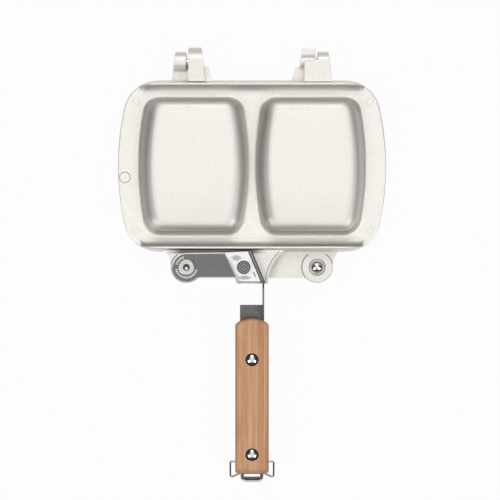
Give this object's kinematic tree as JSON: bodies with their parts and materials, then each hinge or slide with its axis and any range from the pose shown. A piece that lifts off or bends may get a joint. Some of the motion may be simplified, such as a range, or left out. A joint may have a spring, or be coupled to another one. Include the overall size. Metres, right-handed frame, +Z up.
{
  "type": "pie iron",
  "caption": "Folding double pie iron: hinged cast plates with paired bread pockets, fold-round steel arms with bamboo grips, and a wire bail.",
  "frame": {"origin": "middle of the part's outline in plan, on the surface that the lower pockets stand on", "axes": "+Z up, +Y toward the hinge and -Y toward the grips, +X to the right when seen from above"},
  "size_m": [0.235, 0.3806, 0.04],
  "materials": {
    "cast_metal": "satin blasted casting",
    "brushed_sheet": "dark brushed stainless sheet",
    "bright_steel": "polished stainless",
    "button_steel": "dark steel",
    "bamboo": "oiled laminated bamboo"
  },
  "bodies": {
    "lower_half": {"lower_plate": "cast_metal", "lower_hinge_pin": "bright_steel", "lower_pivot_screw": "bright_steel", "lower_pivot_nut": "bright_steel", "lower_pivot_washer": "bright_steel"},
    "upper_half": {"upper_plate": "cast_metal", "upper_hinge_pin": "bright_steel", "upper_pivot_screw": "bright_steel", "upper_pivot_nut": "bright_steel", "upper_pivot_washer": "bright_steel"},
    "lower_handle": {"lower_arm": "brushed_sheet", "lower_grip": "bamboo", "lower_grip_rivets": "bright_steel", "lower_button_collar": "bright_steel", "lower_button_spring": "bright_steel"},
    "upper_handle": {"upper_arm": "brushed_sheet", "upper_grip": "bamboo", "upper_grip_rivets": "bright_steel", "upper_button_collar": "bright_steel", "upper_button_spring": "bright_steel"},
    "lower_button": {"lower_lock_button": "button_steel"},
    "upper_button": {"upper_lock_button": "button_steel"},
    "bail_wire": {"bail": "bright_steel"}
  },
  "joints": [
    {"name": "lid_hinge", "type": "hinge", "parent": "lower_half", "child": "upper_half", "pos_m": [0, 0.17827, 0.02], "axis": [-1, 0, 0], "range_deg": [0, 100]},
    {"name": "upper_handle_fold", "type": "hinge", "parent": "upper_half", "child": "upper_handle", "pos_m": [-0.0572, -0.00183, 0.02], "axis": [0, 0, -1], "range_deg": [0, 180]},
    {"name": "lower_handle_fold", "type": "hinge", "parent": "lower_half", "child": "lower_handle", "pos_m": [0.0572, -0.00183, 0.02], "axis": [0, 0, 1], "range_deg": [0, 180]},
    {"name": "upper_button_press", "type": "slide", "parent": "upper_handle", "child": "upper_button", "axis": [0, 0, -1], "range_m": [0, 0.002], "stiffness_N_per_m": 500, "springref_m": -0.001, "deforming": ["upper_button_spring"]},
    {"name": "lower_button_press", "type": "slide", "parent": "lower_handle", "child": "lower_button", "axis": [0, 0, 1], "range_m": [0, 0.002], "stiffness_N_per_m": 500, "springref_m": -0.001, "deforming": ["lower_button_spring"]},
    {"name": "bail_swing", "type": "hinge", "parent": "upper_handle", "child": "bail_wire", "pos_m": [0, -0.17123, 0.028], "axis": [-1, 0, 0], "range_deg": [-32, 110]}
  ]
}
